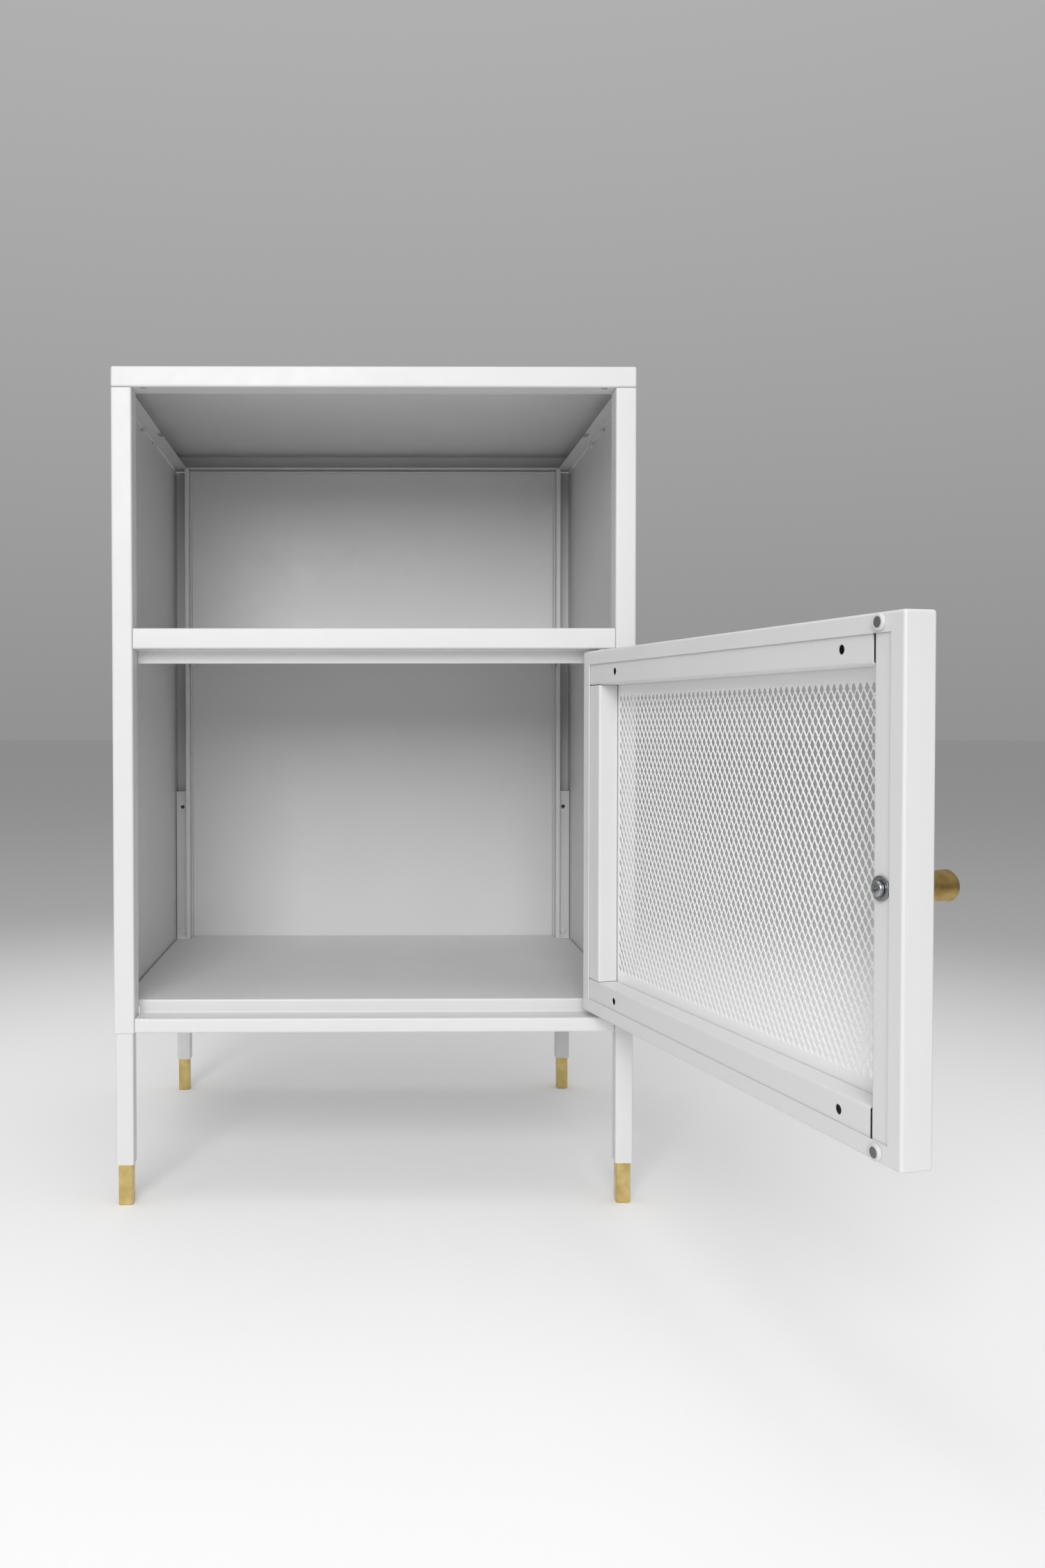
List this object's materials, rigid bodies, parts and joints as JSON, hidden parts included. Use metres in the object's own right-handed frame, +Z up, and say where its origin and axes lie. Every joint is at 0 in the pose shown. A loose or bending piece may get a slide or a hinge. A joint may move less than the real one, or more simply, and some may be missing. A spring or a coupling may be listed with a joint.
{
  "type": "locker cabinet",
  "caption": "Small sheet-steel cabinet on square legs, with an open compartment above and a hinged expanded-mesh door with magnets and a round pull below.",
  "frame": {"origin": "centre of the front left foot's underside, on the floor", "axes": "+X to the right seen from the front, +Y to the back, +Z up"},
  "size_m": [0.4687, 0.6273, 0.61],
  "materials": {
    "powder_coated_steel": "smooth white powder coat, satin",
    "powder_coated_tube": "smooth white powder coat, satin",
    "expanded_steel_mesh": "white powder coat over expanded steel",
    "brass": "satin turned brass",
    "zinc_plated_steel": "zinc plated",
    "white_nylon": "moulded nylon",
    "ferrite": "ground ferrite, matt"
  },
  "bodies": {
    "cabinet": {"side_panel_left": "powder_coated_steel", "side_panel_right": "powder_coated_steel", "top_panel": "powder_coated_steel", "back_panel": "powder_coated_steel", "shelf": "powder_coated_steel", "bottom_panel": "powder_coated_steel", "leg_front_left": "powder_coated_tube", "foot_front_left": "brass", "leg_rivet_front_left": "powder_coated_tube", "leg_front_right": "powder_coated_tube", "foot_front_right": "brass", "leg_rivet_front_right": "powder_coated_tube", "leg_rear_left": "powder_coated_tube", "foot_rear_left": "brass", "leg_rivet_rear_left": "powder_coated_tube", "leg_rear_right": "powder_coated_tube", "foot_rear_right": "brass", "leg_rivet_rear_right": "powder_coated_tube", "shelf_screw_front_left": "zinc_plated_steel", "shelf_screw_front_right": "zinc_plated_steel", "shelf_screw_rear_left": "zinc_plated_steel", "shelf_screw_rear_right": "zinc_plated_steel", "floor_screw_front_left": "zinc_plated_steel", "floor_screw_front_right": "zinc_plated_steel", "floor_screw_rear_left": "zinc_plated_steel", "floor_screw_rear_right": "zinc_plated_steel", "hinge_pin_bottom": "zinc_plated_steel", "hinge_pin_top": "zinc_plated_steel"},
    "door": {"door_pan": "powder_coated_steel", "door_mesh": "expanded_steel_mesh", "door_channel_top": "powder_coated_steel", "door_channel_bottom": "powder_coated_steel", "door_channel_free": "powder_coated_steel", "door_channel_hinge": "powder_coated_steel", "magnet_cup_bottom": "white_nylon", "magnet_cup_top": "white_nylon", "magnet_bottom": "ferrite", "magnet_top": "ferrite", "knob": "brass", "knob_washer": "zinc_plated_steel", "knob_screw": "zinc_plated_steel", "hinge_bush_bottom": "white_nylon", "hinge_bush_top": "white_nylon"}
  },
  "joints": [
    {"name": "door_hinge", "type": "hinge", "parent": "cabinet", "child": "door", "pos_m": [0.3497, -0.003, 0.2733], "axis": [0, 0, 1], "range_deg": [-105, 12]}
  ]
}
